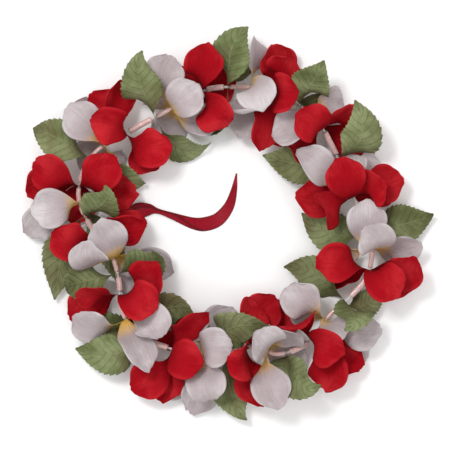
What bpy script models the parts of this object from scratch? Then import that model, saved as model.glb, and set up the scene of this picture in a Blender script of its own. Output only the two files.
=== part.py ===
"""A haku lei: fabric blooms and leaves threaded on a ring of elastic, lying flat on a table."""
import math
from itertools import combinations

import bmesh
import bpy
from mathutils import Matrix, Vector
from mathutils.bvhtree import BVHTree

MM = 0.001

# Driving dimensions, in metres.
CORD_HEIGHT = 13.0 * MM
ELASTIC_RADIUS = 0.8 * MM
STRAW_RADIUS = 1.9 * MM
STRAW_WALL = 0.5 * MM
STRAW_LENGTH = 16.0 * MM
STRAW_SIDES = 8
STRAW_SPANS = 3
HUB_HOLE_RADIUS = 1.6 * MM
HUB_RADIUS = 4.0 * MM
FABRIC = 0.62 * MM
GAP = 0.32 * MM
OWN_GAP = 0.1 * MM
HUB_SHARE = 0.25
STRAW_END_GAP = 2.4 * MM
PETAL_LENGTH = 33.0 * MM
PETAL_WIDTH = 26.0 * MM
LEAF_LENGTH = 45.0 * MM
LEAF_WIDTH = 25.0 * MM
LEAF_TEETH = 6
TOOTH_DEPTH = 1.3 * MM
RIBBON_THICKNESS = 0.6 * MM

# Places in plan are read by eye in pixels of the photograph: its scale and the origin's pixel.
PIXEL = 0.64 * MM
ORIGIN_PIXEL = (230.66, 223.98)

# The elastic's route, counterclockwise from the top.
CORD_ROUTE = (
    (203, 91), (165, 112), (126, 133), (97, 151), (82, 176), (79, 200), (90, 225), (110, 252),
    (119, 281), (121, 308), (136, 334), (160, 345), (190, 353), (222, 350), (250, 346), (280, 354),
    (310, 341), (330, 315), (350, 297), (367, 276), (372, 250), (367, 222), (353, 196), (343, 172),
    (333, 148), (318, 122), (296, 104), (266, 90), (234, 87),
)
CORD_STEPS = 2

# Each group is a red layer, a white layer and a leaf sheet, then a straw up to the next group.
# A layer is its hub, and for each blade the tip in plan, the tip's height in mm and its roll in degrees.
GROUPS = (
    {
        "red": ((203, 91), ((207, 44, 20, 10), (228, 126, 18, 0), (236, 78, 8, 0), (186, 128, 4, 0),
                            (186, 62, 5, 0))),
        "white": ((172, 110), ((172, 55, 14, 0), (200, 86, 28, 0), (219, 138, 12, 25), (150, 140, 3, 0),
                               (145, 82, 4, 0))),
        "leaf": ((155, 118), ((143, 52, 28, 0), (211, 142, 6, 50))),
    },
    {
        "red": ((126, 133), ((90, 92, 18, 0), (123, 80, 24, 20), (172, 142, 24, 0), (162, 167, 14, 0),
                             (91, 122, 32, -20))),
        "white": ((104, 146), ((67, 106, 15, 0), (154, 171, 5, 0), (106, 98, 4, 0), (78, 167, 3, 0),
                               (120, 172, 3, 0))),
        "leaf": ((88, 157), ((33, 128, 10, 0), (57, 118, 4, 0), (145, 183, 4, 40))),
    },
    {
        "red": ((80, 186), ((35, 160, 20, 0), (113, 154, 24, 0), (27, 196, 16, 15), (139, 191, 12, 0),
                            (72, 225, 3, 0))),
        "white": ((79, 204), ((31, 211, 9, 0), (26, 236, 7, 0), (118, 218, 3, 0), (60, 170, 3, 0),
                              (98, 170, 3, 0))),
        "leaf": ((84, 217), ((110, 189, 30, 0), (54, 300, 6, 0), (162, 243, 2, 0))),
    },
    {
        "red": ((97, 235), ((56, 228, 24, 0), (142, 211, 24, 0), (56, 273, 6, 0), (140, 196, 6, 0),
                            (158, 252, 10, 0))),
        "white": ((113, 258), ((99, 219, 34, 0), (90, 240, 28, 0), (66, 296, 6, 0), (172, 275, 5, 0),
                               (146, 300, 3, 0))),
        "leaf": ((117, 274), ((67, 286, 22, 0), (153, 250, 30, 20))),
    },
    {
        "red": ((120, 295), ((75, 281, 28, 0), (160, 263, 26, 0), (158, 309, 28, 0), (73, 328, 4, 0),
                             (126, 345, 3, 0))),
        "white": ((126, 320), ((76, 319, 20, 0), (165, 320, 20, 0), (134, 375, 16, 0), (184, 308, 6, 0),
                               (108, 385, 3, 0))),
        "leaf": ((141, 337), ((75, 349, 6, 0), (78, 372, 3, 0), (195, 317, 14, 20))),
    },
    {
        "red": ((172, 349), ((131, 391, 14, 0), (162, 403, 10, 0), (208, 312, 26, 0), (190, 314, 18, 0),
                             (204, 360, 30, 0), (150, 318, 3, 0))),
        "white": ((202, 354), ((216, 318, 22, 65), (233, 345, 28, 0), (213, 399, 22, 0), (189, 415, 6, 0),
                               (153, 397, 4, 0), (236, 310, 5, 0))),
        "leaf": ((223, 350), ((269, 326, 26, 25), (247, 420, 12, 0))),
    },
    {
        "red": ((246, 346), ((255, 300, 22, 40), (277, 297, 18, 0), (301, 304, 12, 0), (262, 406, 20, 0),
                             (229, 352, 26, 0))),
        "white": ((267, 351), ((301, 334, 32, 0), (252, 332, 26, 50), (289, 405, 18, 0), (268, 405, 6, 0),
                               (310, 362, 4, 0))),
        "leaf": ((286, 352), ((320, 383, 24, 20), (276, 417, 3, 0))),
    },
    {
        "red": ((311, 340), ((305, 326, 36, 0), (343, 354, 28, 20), (323, 391, 18, 0), (364, 368, 12, 0),
                             (312, 393, 3, 0))),
        "white": ((326, 320), ((292, 283, 20, 0), (345, 336, 28, 0), (382, 328, 18, 0), (367, 363, 8, 0),
                               (289, 301, 5, 0))),
        "leaf": ((345, 302), ((284, 267, 10, 0), (343, 329, 34, 0), (397, 302, 15, 0))),
    },
    {
        "red": ((368, 270), ((314, 264, 24, 0), (413, 256, 26, 20), (399, 296, 28, 0), (419, 284, 9, 0),
                             (322, 291, 5, 0))),
        "white": ((372, 249), ((367, 199, 20, 0), (362, 227, 34, 0), (310, 231, 12, 0), (421, 243, 14, 0),
                               (420, 270, 4, 0), (303, 261, 4, 0))),
        "leaf": ((370, 232), ((434, 214, 8, 0), (302, 213, 8, 0))),
    },
    {
        "red": ((353, 197), ((339, 157, 28, 0), (297, 179, 20, 0), (404, 178, 18, 0), (406, 197, 8, 0),
                             (384, 181, 30, 0), (325, 209, 26, 0))),
        "white": ((346, 180), ((326, 147, 12, 0), (353, 149, 12, 0), (287, 180, 10, 0), (381, 163, 10, 0),
                               (305, 207, 4, 0), (390, 200, 3, 0))),
        "leaf": ((337, 158), ((354, 101, 26, 0), (263, 155, 6, 0))),
    },
    {
        "red": ((322, 130), ((297, 112, 30, 0), (348, 104, 22, 30), (291, 150, 24, 0), (369, 164, 6, 0),
                             (330, 172, 5, 0))),
        "white": ((311, 115), ((343, 94, 10, 0), (276, 143, 16, 50), (288, 142, 10, 40), (330, 150, 3, 0),
                               (296, 84, 4, 0))),
        "leaf": ((298, 105), ((323, 62, 22, 0), (346, 88, 10, 0))),
    },
    {
        "red": ((275, 94), ((273, 44, 16, 20), (293, 60, 22, 0), (298, 94, 30, 0), (262, 151, 14, 0),
                            (284, 147, 8, 0))),
        "white": ((251, 87), ((262, 39, 14, 60), (227, 108, 26, 45), (264, 112, 34, 0), (243, 141, 18, 0),
                              (232, 60, 4, 0))),
        "leaf": ((227, 88), ((248, 28, 24, 0), (260, 46, 8, 60), (237, 146, 4, 30))),
    },
)

# The ribbon from its loop round the elastic: place in plan, height and width in mm, tilt in degrees.
RIBBON_ROUTE = (
    (106, 246, 15.3, 4, 0), (113, 241, 14.0, 4, 0), (124, 229, 7.0, 7, 0), (136, 213, 2.0, 11, 8),
    (148, 208, 1.2, 9, 10), (160, 209, 1.0, 6, 8), (175, 215, 1.0, 6.5, 0), (192, 222, 0.3, 8.5, 0),
    (206, 224, 0.3, 9, 0), (219, 219, 0.3, 8.5, 0), (229, 206, 0.3, 7, 0), (234.5, 190, 0.3, 4, 0),
    (236.5, 173, 0.3, 0.8, 0),
)

# Rows of a blade from its hub to its tip, as shares of its length, and steps along its middle line.
SPINE_STEPS = 10
PETAL_ROWS = (0.0, 0.28, 0.52, 0.78, 1.0)
PETAL_WAIST = 1.35
CUP = 0.30
TWIST_SHARE = 0.5
HIGHEST_TIP = 37.0 * MM
# Blades with their tips below these heights, in mm, are mostly under others and are fitted in last.
HIDDEN_BELOW = {"leaf": 5, "petal": 14}
COLORS = {
    "red": (0.48, 0.006, 0.012, 1.0),
    "white": (0.58, 0.53, 0.54, 1.0),
    "leaf": (0.15, 0.23, 0.08, 1.0),
    "straw": (0.66, 0.32, 0.29, 1.0),
    "elastic": (0.75, 0.72, 0.70, 1.0),
    "ribbon": (0.30, 0.007, 0.016, 1.0),
}


def plan(x, y, height=0.0):
    """The point in space over a pixel of the photograph."""
    return Vector(((x - ORIGIN_PIXEL[0]) * PIXEL, (ORIGIN_PIXEL[1] - y) * PIXEL, height))


def catmull_rom(a, b, c, d, t):
    """A point between b and c on the smooth curve through all four."""
    return 0.5 * (2 * b + (c - a) * t + (2 * a - 5 * b + 4 * c - d) * t ** 2 + (3 * b - a - 3 * c + d) * t ** 3)


def smooth_route(points, steps, closed):
    """Points on a smooth curve through the given ones, with the same number in each span."""
    count = len(points)
    spans = count if closed else count - 1
    route = []
    for i in range(spans):
        around = [points[(i + k) % count] if closed else points[min(max(i + k, 0), count - 1)]
                  for k in (-1, 0, 1, 2)]
        route.extend(catmull_rom(*around, k / steps) for k in range(steps))
    if not closed:
        route.append(points[-1])
    return route


CORD_FINE = smooth_route([plan(x, y, CORD_HEIGHT) for x, y in CORD_ROUTE], 24, closed=True)


def cord_place(x, y):
    """The nearest index on the fine cord route to a pixel."""
    wanted = plan(x, y, CORD_HEIGHT)
    return min(range(len(CORD_FINE)), key=lambda i: (CORD_FINE[i] - wanted).length)


def cord_tangent(index):
    """The cord's direction at a point of the fine route."""
    count = len(CORD_FINE)
    return (CORD_FINE[(index + 3) % count] - CORD_FINE[index - 3]).normalized()


def petal_half_width(u):
    """Half the width of a petal at a share of its length: narrow at the hub, widest at two thirds."""
    base = HUB_RADIUS * math.sin(math.radians(36))
    widest = PETAL_WIDTH / 2
    if u < 0.62:
        return base + (widest - base) * math.sin(math.pi / 2 * u / 0.62) ** PETAL_WAIST
    return widest * math.sqrt(1 - ((u - 0.62) / 0.44) ** 2)


def leaf_half_width(u):
    """Half the width of a leaf without its teeth: ovate, drawn out to a point."""
    base = HUB_RADIUS * math.sin(math.radians(36))
    return base * (1 - u) ** 4 + LEAF_WIDTH / 2 * math.sin(math.pi * u ** 0.8) ** 1.15 + 0.5 * MM * u


def leaf_rows():
    """Rows of a leaf: one at each notch and each tooth of its edge."""
    return [0.0, 0.10] + [0.10 + 0.90 * k / (2 * LEAF_TEETH) for k in range(1, 2 * LEAF_TEETH + 1)]


def spine(start, heading, tip, length):
    """Points and directions along a blade: it leaves along heading and bends over to its tip."""
    chord = (tip - start).length
    length = max(length, chord * 1.02)

    def trace(reach):
        bend = start + heading * reach
        return [start * (1 - t) ** 2 + bend * 2 * t * (1 - t) + tip * t ** 2
                for t in (k / SPINE_STEPS for k in range(SPINE_STEPS + 1))]

    low, high = 0.12 * length, 1.1 * length
    for _ in range(9):
        middle = (low + high) / 2
        points = trace(middle)
        if sum((b - a).length for a, b in zip(points, points[1:])) < length:
            low = middle
        else:
            high = middle
    return points


def along(points, share):
    """The point and direction at a share of a line's length, past its end if the share is over one."""
    steps = [(b - a).length for a, b in zip(points, points[1:])]
    wanted = share * sum(steps)
    for a, b, step in zip(points, points[1:], steps):
        if wanted <= step or b is points[-1]:
            return a.lerp(b, wanted / step), (b - a).normalized()
        wanted -= step


def blade_grid(kind, hub, slot, entry, bend, grow=0.0):
    """Rows of points over a petal or a leaf, from the hub's rim to the tip."""
    lift, roll_more, turn, scale = bend
    centre, tangent, side, up = hub
    angle, half_arc = slot
    heading = side * math.cos(angle) + up * math.sin(angle)
    start = centre + heading * HUB_RADIUS
    tip_x, tip_y, tip_height, roll = entry
    length = (PETAL_LENGTH if kind == "petal" else LEAF_LENGTH) * scale
    reach = plan(tip_x, tip_y) - Vector((centre.x, centre.y, 0))
    reach = Matrix.Rotation(math.radians(turn), 3, "Z") @ (reach * (0.5 + 0.5 * scale))
    height = tip_height * MM + lift
    shortfall = (0.86 * length) ** 2 - reach.length_squared
    if tip_height * MM > CORD_HEIGHT and shortfall > 0:
        height = max(height, CORD_HEIGHT + math.sqrt(shortfall) * 0.9 + lift)
    height = min(max(height, FABRIC / 2), HIGHEST_TIP)
    tip = Vector((centre.x, centre.y, 0)) + reach + Vector((0, 0, height))
    points = spine(start, heading, tip, min(length, (tip - start).length * 1.2))
    total = sum((b - a).length for a, b in zip(points, points[1:]))

    width_start = heading.cross(tangent)
    width_end = Vector((0, 0, 1)).cross(reach).normalized()
    if width_start.dot(width_end) < 0:
        width_end = -width_end
    rows = PETAL_ROWS if kind == "petal" else leaf_rows()
    upward = 1 if along(points, 1.0)[1].cross(width_end).z > 0 else -1
    grid = []
    for number, u in enumerate(rows):
        row = []
        for v in (-1, 0, 1):
            if number == 0:
                rim = angle + v * half_arc
                out = side * math.cos(rim) + up * math.sin(rim)
                row.append(centre + out * HUB_RADIUS)
                continue
            forward = 0.0
            if kind == "petal":
                half = petal_half_width(u)
                forward = -0.13 * u ** 4 * v * v
            else:
                tooth = 1 if number % 2 else -1
                fade = math.sin(math.pi * min(1.0, u * 1.02))
                half = leaf_half_width(u) + tooth * TOOTH_DEPTH * fade * (number > 1)
            point, direction = along(points, u + forward + grow / total * u)
            ease = min(1.0, u / TWIST_SHARE)
            ease = ease * ease * (3 - 2 * ease)
            width = width_start.lerp(width_end, ease)
            width = (width - direction * width.dot(direction)).normalized()
            spin = Matrix.Rotation(math.radians((roll + roll_more) * ease), 3, direction)
            width = spin @ width
            normal = direction.cross(width) * upward
            cup = CUP if kind == "petal" else 0.16
            offset = width * (half * scale + grow) * v
            row.append(point + offset + normal * half * cup * (v * v) * min(1.0, 2 * u))
        grid.append(row)
    for row in grid[1:]:
        for point in row:
            point.z = max(point.z, FABRIC / 2)
    return grid


def grid_faces(rows, columns):
    """Triangles over a grid of points, with every diagonal turned the same way on each side."""
    faces = []
    for r in range(rows - 1):
        for c in range(columns - 1):
            a = r * columns + c
            b = a + 1
            d = a + columns
            e = d + 1
            if c < (columns - 1) / 2:
                faces.extend(((a, b, d), (b, e, d)))
            else:
                faces.extend(((a, b, e), (a, e, d)))
    return faces


def shell(grid, thickness):
    """A thin closed shell over a grid, as points and triangles, for testing what it meets."""
    rows, columns = len(grid), len(grid[0])
    points = [p for row in grid for p in row]
    faces = grid_faces(rows, columns)
    normals = [Vector() for _ in points]
    for face in faces:
        a, b, c = (points[i] for i in face)
        normal = (b - a).cross(c - a)
        for i in face:
            normals[i] += normal
    count = len(points)
    normals = [n.normalized() * thickness / 2 for n in normals]
    both = [p + n for p, n in zip(points, normals)] + [p - n for p, n in zip(points, normals)]
    edge = [c for c in range(columns)] + [r * columns + columns - 1 for r in range(1, rows)]
    edge += [(rows - 1) * columns + c for c in range(columns - 2, -1, -1)]
    edge += [r * columns for r in range(rows - 2, 0, -1)]
    rim = []
    for a, b in zip(edge, edge[1:] + edge[:1]):
        rim.extend(((a, b, b + count), (a, b + count, a + count)))
    under = [(a + count, c + count, b + count) for a, b, c in faces]
    return both, faces + under + rim


class Solid:
    """Something already in its place, which later blades keep clear of."""

    def __init__(self, points, faces, owner, outer=None):
        self.tree = BVHTree.FromPolygons(points, faces)
        self.outer = outer
        self.owner = owner
        self.low = [min(p[k] for p in points) for k in range(3)]
        self.high = [max(p[k] for p in points) for k in range(3)]

    def near(self, other):
        """Whether the boxes of two solids meet."""
        return all(self.low[k] <= other.high[k] and other.low[k] <= self.high[k] for k in range(3))


def bends():
    """Ways to bend a blade clear, the smallest change first: lift, roll, turn and scale."""
    choices = []
    for scale in (1.0, 0.92, 0.84, 0.75, 0.65):
        for turn in (0, -8, 8, -16, 16, -28, 28, -45, 45):
            for roll in (0, -20, 20, -40, 40):
                for lift in (0, 2.5, -2.5, 5, -5, 9, -9, 13, -13):
                    cost = abs(lift) / 3 + abs(roll) / 14 + abs(turn) / 5 + (1 - scale) * 24
                    choices.append((cost, len(choices), (lift * MM, roll, turn, scale)))
    return [choice[2] for choice in sorted(choices)]


def slot_angles(hub, blades, slots):
    """The place round the hub where each blade leaves it: evenly spaced, in the blades' own order."""
    centre, _, side, up = hub
    natural = []
    for number, (x, y, height, _) in enumerate(blades):
        to_tip = plan(x, y, max(height * MM, 2 * MM)) - centre
        natural.append((math.atan2(to_tip.dot(up), to_tip.dot(side)) % math.tau, number))
    natural.sort()
    best = None
    step = math.tau / slots
    for used in combinations(range(slots), len(blades)):
        for shift in range(len(blades)):
            order = natural[shift:] + natural[:shift]
            gaps = [(angle - place * step + math.pi) % math.tau - math.pi
                    for (angle, _), place in zip(order, used)]
            turn = math.atan2(sum(math.sin(g) for g in gaps), sum(math.cos(g) for g in gaps))
            cost = sum(((g - turn + math.pi) % math.tau - math.pi) ** 2 for g in gaps)
            if best is None or cost < best[0] - 1e-9:
                best = (cost, turn, {number: place for (_, number), place in zip(order, used)})
    _, turn, places = best
    return turn, [(turn + places[number] * step, step / 2) for number in range(len(blades))]


def hub_ring(hub, turn, slots):
    """The disc with a hole in the middle of a layer: two rings of points and the faces between."""
    centre, _, side, up = hub
    count = 2 * slots
    rings = []
    for radius in (HUB_HOLE_RADIUS, HUB_RADIUS):
        angles = [turn + math.pi * (k - 1) / slots for k in range(count)]
        rings.append([centre + (side * math.cos(a) + up * math.sin(a)) * radius for a in angles])
    faces = []
    for k in range(count):
        n = (k + 1) % count
        faces.extend(((k, count + k, count + n), (k, count + n, n)))
    return rings, faces


def make_material(name, color, roughness):
    """A plain finish of one colour."""
    material = bpy.data.materials.new(name)
    material.use_nodes = True
    shader = material.node_tree.nodes["Principled BSDF"]
    shader.inputs["Base Color"].default_value = color
    shader.inputs["Roughness"].default_value = roughness
    shader.inputs["Metallic"].default_value = 0.0
    return material


def add_object(name, mesh, collection, kind):
    """An object in the collection, with its own material."""
    obj = bpy.data.objects.new(name, mesh)
    collection.objects.link(obj)
    obj.data.materials.append(make_material(name, COLORS[kind], 0.4 if kind in ("straw", "ribbon") else 0.8))
    return obj


def thicken(obj, thickness):
    """Give an open surface its thickness, half to each side."""
    solidify = obj.modifiers.new("thickness", "SOLIDIFY")
    solidify.thickness = thickness
    solidify.offset = 0.0


def layer_object(name, kind, hub, turn, slots, grids, collection):
    """One die-cut layer: its hub and its blades as one open surface, then thickened."""
    rings, ring_faces = hub_ring(hub, turn, slots)
    shape = bmesh.new()
    ring_points = [shape.verts.new(p) for ring in rings for p in ring]
    for face in ring_faces:
        shape.faces.new([ring_points[i] for i in face])
    rim = ring_points[2 * slots:]
    for place, grid in grids:
        first = [rim[(2 * place + k) % (2 * slots)] for k in range(3)]
        points = first + [shape.verts.new(p) for row in grid[1:] for p in row]
        for face in grid_faces(len(grid), 3):
            shape.faces.new([points[i] for i in face])
    bmesh.ops.recalc_face_normals(shape, faces=shape.faces[:])
    mesh = bpy.data.meshes.new(name)
    shape.to_mesh(mesh)
    shape.free()
    obj = add_object(name, mesh, collection, kind)
    thicken(obj, FABRIC)
    return obj


def sweep(points, radius, sides, closed):
    """An open tube round a line of points: rings of points and their quads."""
    verts = []
    count = len(points)
    for i, point in enumerate(points):
        before = points[i - 1] if closed or i else points[0]
        after = points[(i + 1) % count] if closed or i < count - 1 else points[-1]
        direction = (after - before).normalized()
        side = direction.cross(Vector((0, 0, 1))).normalized()
        up = side.cross(direction)
        for k in range(sides):
            a = math.tau * k / sides
            verts.append(point + (side * math.cos(a) + up * math.sin(a)) * radius)
    faces = []
    for i in range(count if closed else count - 1):
        n = (i + 1) % count
        for k in range(sides):
            m = (k + 1) % sides
            faces.append((i * sides + k, n * sides + k, n * sides + m, i * sides + m))
    return verts, faces


def make_elastic(collection):
    """The ring of round elastic that everything is threaded on."""
    curve = bpy.data.curves.new("elastic", "CURVE")
    curve.dimensions = "3D"
    curve.bevel_depth = ELASTIC_RADIUS
    curve.bevel_resolution = 2
    route = smooth_route([plan(x, y, CORD_HEIGHT) for x, y in CORD_ROUTE], CORD_STEPS, closed=True)
    line = curve.splines.new("POLY")
    line.points.add(len(route) - 1)
    for place, point in zip(line.points, route):
        place.co = (*point, 1.0)
    line.use_cyclic_u = True
    return add_object("elastic", curve, collection, "elastic")


def make_straw(name, start, end, collection):
    """A cut length of drinking-straw tube on the elastic, in the middle of the room between two hubs."""
    count = len(CORD_FINE)
    indices = [i % count for i in range(start, end + (count if end < start else 0) + 1)]
    room = [CORD_FINE[i] for i in indices]
    total = sum((b - a).length for a, b in zip(room, room[1:]))
    length = min(STRAW_LENGTH, total - 2 * STRAW_END_GAP)
    shares = [(0.5 + (k / STRAW_SPANS - 0.5) * length / total) for k in range(STRAW_SPANS + 1)]
    points = [along(room, share)[0] for share in shares]
    verts, faces = sweep(points, STRAW_RADIUS - STRAW_WALL / 2, STRAW_SIDES, closed=False)
    mesh = bpy.data.meshes.new(name)
    mesh.from_pydata(verts, [], faces)
    shape = bmesh.new()
    shape.from_mesh(mesh)
    bmesh.ops.triangulate(shape, faces=shape.faces[:])
    bmesh.ops.recalc_face_normals(shape, faces=shape.faces[:])
    shape.to_mesh(mesh)
    shape.free()
    obj = add_object(name, mesh, collection, "straw")
    thicken(obj, STRAW_WALL)
    test_points, test_faces = sweep(points, STRAW_RADIUS, STRAW_SIDES, closed=False)
    return Solid(test_points, test_faces, name)


def ribbon_grid():
    """Rows across the ribbon: a short leg under the elastic, the turn round it, and the long tail."""
    _, (middle, tangent, outward, _) = hub_frame(*RIBBON_ROUTE[0][:2])
    heading = -outward
    across = -tangent
    loop_radius = ELASTIC_RADIUS + RIBBON_THICKNESS / 2 + GAP
    rows = []
    half = RIBBON_ROUTE[0][3] / 2 * MM
    for forward in (6.0, 3.0):
        rows.append((middle + heading * forward * MM - Vector((0, 0, loop_radius)), across * half))
    for k in range(7):
        a = -math.pi / 2 - math.pi * k / 6
        point = middle + (heading * math.cos(a) + Vector((0, 0, math.sin(a)))) * loop_radius
        rows.append((point, across * half))
    stations = [Vector((*plan(x, y, z * MM), width)) for x, y, z, width, _ in RIBBON_ROUTE[1:]]
    tilts = [tilt for *_, tilt in RIBBON_ROUTE[1:]]
    fine = smooth_route(stations, 2, closed=False)
    for i, place in enumerate(fine):
        point = Vector(place[:3])
        before = Vector(fine[max(i - 1, 0)][:3])
        after = Vector(fine[min(i + 1, len(fine) - 1)][:3])
        direction = (after - before).normalized()
        sideways = Vector((0, 0, 1)).cross(direction).normalized()
        tilt = tilts[min(i // 2, len(tilts) - 1)]
        sideways = Matrix.Rotation(math.radians(tilt), 3, direction) @ sideways
        rows.append((point, sideways * place[3] * MM / 2))
    grid = []
    for point, half_width in rows:
        row = [point - half_width, point.copy(), point + half_width]
        for p in row:
            p.z = max(p.z, RIBBON_THICKNESS / 2)
        grid.append(row)
    return grid


def make_ribbon(collection):
    """The satin ribbon tail that loops round the elastic and lies in the hole of the wreath."""
    grid = ribbon_grid()
    mesh = bpy.data.meshes.new("ribbon")
    mesh.from_pydata([p for row in grid for p in row], [], grid_faces(len(grid), 3))
    shape = bmesh.new()
    shape.from_mesh(mesh)
    bmesh.ops.recalc_face_normals(shape, faces=shape.faces[:])
    shape.to_mesh(mesh)
    shape.free()
    obj = add_object("ribbon", mesh, collection, "ribbon")
    thicken(obj, RIBBON_THICKNESS)
    points, faces = shell(grid, RIBBON_THICKNESS)
    return Solid(points, faces, "ribbon")


def hub_frame(x, y):
    """A hub on the cord: its centre, the way it faces, and its outward and upward directions."""
    index = cord_place(x, y)
    tangent = cord_tangent(index)
    side = tangent.cross(Vector((0, 0, 1))).normalized()
    return index, (CORD_FINE[index], tangent, side, side.cross(tangent))


def past_hub(grid, thickness):
    """A tree of a blade's shell without the part where it runs into its hub."""
    first = [a.lerp(b, HUB_SHARE) for a, b in zip(grid[0], grid[1])]
    points, faces = shell([first] + grid[1:], thickness)
    return BVHTree.FromPolygons(points, faces)


def clear_of(candidate, outer, owner, solids):
    """Whether a blade meets nothing that is already in place."""
    for solid in solids:
        if not solid.near(candidate):
            continue
        if solid.owner == owner:
            if solid.outer is not None and outer.overlap(solid.outer):
                return False
        elif candidate.tree.overlap(solid.tree):
            return False
    return True


def crosses_itself(points, faces):
    """Whether a shell has triangles that meet and share no corner."""
    tree = BVHTree.FromPolygons(points, faces)
    return any(a < b and not set(faces[a]) & set(faces[b]) for a, b in tree.overlap(tree))


def place_blade(blade, solids, choices):
    """Bend one blade clear of what is in place, by the smallest change that does it."""
    owner, kind, hub, slot, entry = blade
    for bend in choices:
        wide = blade_grid(kind, hub, slot, entry, bend, grow=GAP)
        points, faces = shell(wide, FABRIC + 2 * GAP)
        candidate = Solid(points, faces, owner)
        outer = past_hub(blade_grid(kind, hub, slot, entry, bend, grow=OWN_GAP), FABRIC + 2 * OWN_GAP)
        if clear_of(candidate, outer, owner, solids):
            grid = blade_grid(kind, hub, slot, entry, bend)
            points, faces = shell(grid, FABRIC)
            if crosses_itself(points, faces):
                continue
            solids.append(Solid(points, faces, owner, past_hub(grid, FABRIC)))
            return grid, bend
    return None, None


def build():
    """Make every piece of the lei."""
    for obj in list(bpy.data.objects):
        bpy.data.objects.remove(obj, do_unlink=True)
    collection = bpy.data.collections.new("haku_lei")
    bpy.context.scene.collection.children.link(collection)

    solids = []
    make_elastic(collection)
    points, faces = sweep(CORD_FINE[::6], ELASTIC_RADIUS, 8, closed=True)
    solids.append(Solid(points, faces, "elastic"))
    solids.append(make_ribbon(collection))

    layers = []
    for number, group in enumerate(GROUPS, start=1):
        for kind in ("red", "white", "leaf"):
            (x, y), blades = group[kind]
            index, hub = hub_frame(x, y)
            slots = max(5, len(blades))
            turn, angles = slot_angles(hub, blades, slots)
            name = f"{kind}_{'sheet' if kind == 'leaf' else 'bloom'}_{number:02d}"
            layers.append((name, kind, index, hub, turn, slots, angles, blades))
            rings, ring_faces = hub_ring(hub, turn, slots)
            flat = [p for ring in rings for p in ring]
            count = len(flat)
            both_faces = ring_faces + [tuple(i + count for i in face) for face in ring_faces]
            thin, kept_clear = ([p + hub[1] * side * reach for side in (1, -1) for p in flat]
                                for reach in (FABRIC / 2, FABRIC / 2 + GAP))
            own_disc = BVHTree.FromPolygons(thin, both_faces)
            solids.append(Solid(kept_clear, both_faces, name, own_disc))

    for number in range(len(GROUPS)):
        start = layers[3 * number + 2][2]
        end = layers[(3 * number + 3) % len(layers)][2]
        solids.append(make_straw(f"straw_{number + 1:02d}", start, end, collection))

    queue = []
    for name, kind, _, hub, turn, slots, angles, blades in layers:
        shape = "leaf" if kind == "leaf" else "petal"
        for number, (slot, entry) in enumerate(zip(angles, blades)):
            hidden = entry[2] < HIDDEN_BELOW[shape]
            queue.append((hidden, shape, -entry[2], name, number, (name, shape, hub, slot, entry)))
    queue.sort(key=lambda item: item[:5])
    choices = bends()
    placed = {}
    for *_, name, number, blade in queue:
        grid, bend = place_blade(blade, solids, choices)
        placed[(name, number)] = (grid, bend)

    for name, kind, _, hub, turn, slots, angles, blades in layers:
        grids = []
        for number, (angle, _) in enumerate(angles):
            grid, _ = placed[(name, number)]
            if grid is not None:
                place = round((angle - turn) / (math.tau / slots)) % slots
                grids.append((place, grid))
        layer_object(name, kind, hub, turn, slots, grids, collection)
    return placed


build()
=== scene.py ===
import math
import random

import bmesh
import bpy
from itertools import combinations, product
from mathutils import Matrix, Vector
from mathutils.bvhtree import BVHTree
from mathutils.kdtree import KDTree


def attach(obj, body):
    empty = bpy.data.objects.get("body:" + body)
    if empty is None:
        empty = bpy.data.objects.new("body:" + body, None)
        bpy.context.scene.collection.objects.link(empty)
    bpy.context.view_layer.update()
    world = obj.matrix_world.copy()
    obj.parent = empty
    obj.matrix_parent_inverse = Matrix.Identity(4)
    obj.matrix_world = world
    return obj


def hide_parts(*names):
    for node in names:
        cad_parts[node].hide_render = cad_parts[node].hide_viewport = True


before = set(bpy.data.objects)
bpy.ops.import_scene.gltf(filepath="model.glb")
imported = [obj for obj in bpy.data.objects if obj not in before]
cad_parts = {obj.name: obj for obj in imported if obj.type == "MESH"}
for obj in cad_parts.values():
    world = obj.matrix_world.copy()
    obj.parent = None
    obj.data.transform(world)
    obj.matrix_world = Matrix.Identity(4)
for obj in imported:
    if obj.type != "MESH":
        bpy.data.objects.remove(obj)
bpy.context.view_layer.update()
MM = 0.001

# The ring of elastic
# A thin round cord with a woven cover, joined into a ring. Everything else is threaded
# on it, so its route gives the place of each hub and straw.
PIXEL = 0.64 * MM
ORIGIN_PIXEL = (230.66, 223.98)
CORD_HEIGHT = 13.0 * MM
ELASTIC_RADIUS = 0.8 * MM
CORD_ROUTE = (
    (203, 91), (165, 112), (126, 133), (97, 151), (82, 176), (79, 200), (90, 225), (110, 252),
    (119, 281), (121, 308), (136, 334), (160, 345), (190, 353), (222, 350), (250, 346), (280, 354),
    (310, 341), (330, 315), (350, 297), (367, 276), (372, 250), (367, 222), (353, 196), (343, 172),
    (333, 148), (318, 122), (296, 104), (266, 90), (234, 87),
)
FINE_STEPS = 24
TUBE_SPACING = 0.9 * MM
ELASTIC_STRIDE = 4
ELASTIC_SPACING = 2.0 * MM
ELASTIC_SIDES = 12
COVER_RIDGES = (5200, 3100)
ELASTIC_COLOR = (0.74, 0.70, 0.68, 1.0)
ELASTIC_RIDGE_SHADE = (0.55, 0.50, 0.47, 1.0)


def plan(x, y, height=0.0):
    """The point in space over a pixel of the photograph."""
    return Vector(((x - ORIGIN_PIXEL[0]) * PIXEL, (ORIGIN_PIXEL[1] - y) * PIXEL, height))


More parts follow.
